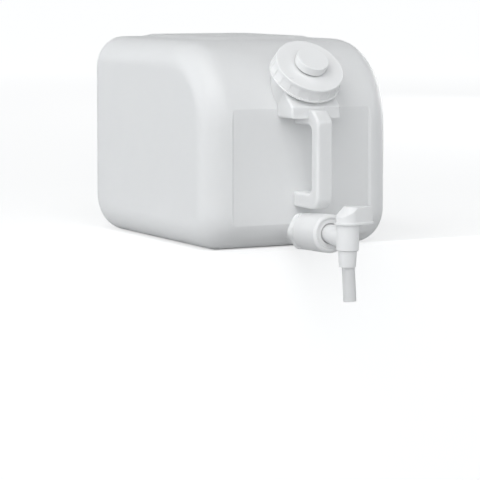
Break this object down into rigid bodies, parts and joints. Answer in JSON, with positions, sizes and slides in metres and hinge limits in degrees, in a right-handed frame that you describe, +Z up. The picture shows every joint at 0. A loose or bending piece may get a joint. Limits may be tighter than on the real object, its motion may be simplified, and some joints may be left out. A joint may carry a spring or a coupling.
{
  "type": "carboy with spigot",
  "caption": "Rectangular plastic carboy with a loop handle, a tilted neck with screw cap and vent plug, and a quarter-turn spigot at the foot of the front.",
  "frame": {"origin": "middle of the flat base the tank stands on", "axes": "+Z up, -Y to the front where the neck, handle and spigot are, +X to the right of the front"},
  "size_m": [0.258, 0.4784, 0.3085],
  "materials": {
    "tank_plastic": "natural milky polyethylene, satin",
    "cap_plastic": "white moulded polypropylene, satin",
    "spigot_plastic": "white moulded polypropylene, soft gloss",
    "tube_plastic": "milky flexible tube",
    "liner_foam": "white closed-cell foam",
    "seal_rubber": "grey rubber"
  },
  "bodies": {
    "vessel": {"carboy_body": "tank_plastic", "collar_nut": "spigot_plastic", "spigot_washer": "seal_rubber", "spigot_body": "spigot_plastic", "outlet_tube": "tube_plastic"},
    "cap": {"main_cap": "cap_plastic", "cap_liner": "liner_foam"},
    "vent": {"vent_plug": "cap_plastic", "vent_plug_seal": "seal_rubber"},
    "tap": {"tap_lever": "spigot_plastic", "rotor_seal_upper": "seal_rubber", "rotor_seal_lower": "seal_rubber"}
  },
  "joints": [
    {"name": "cap_lift", "type": "slide", "parent": "vessel", "child": "cap", "axis": [0, -0.6858, 0.7278], "range_m": [0, 0.1]},
    {"name": "vent_plug_lift", "type": "slide", "parent": "cap", "child": "vent", "axis": [0, -0.6858, 0.7278], "range_m": [0, 0.05]},
    {"name": "tap_turn", "type": "hinge", "parent": "vessel", "child": "tap", "pos_m": [0, -0.287, 0.05], "axis": [0, 0, -1], "range_deg": [0, 90]}
  ]
}
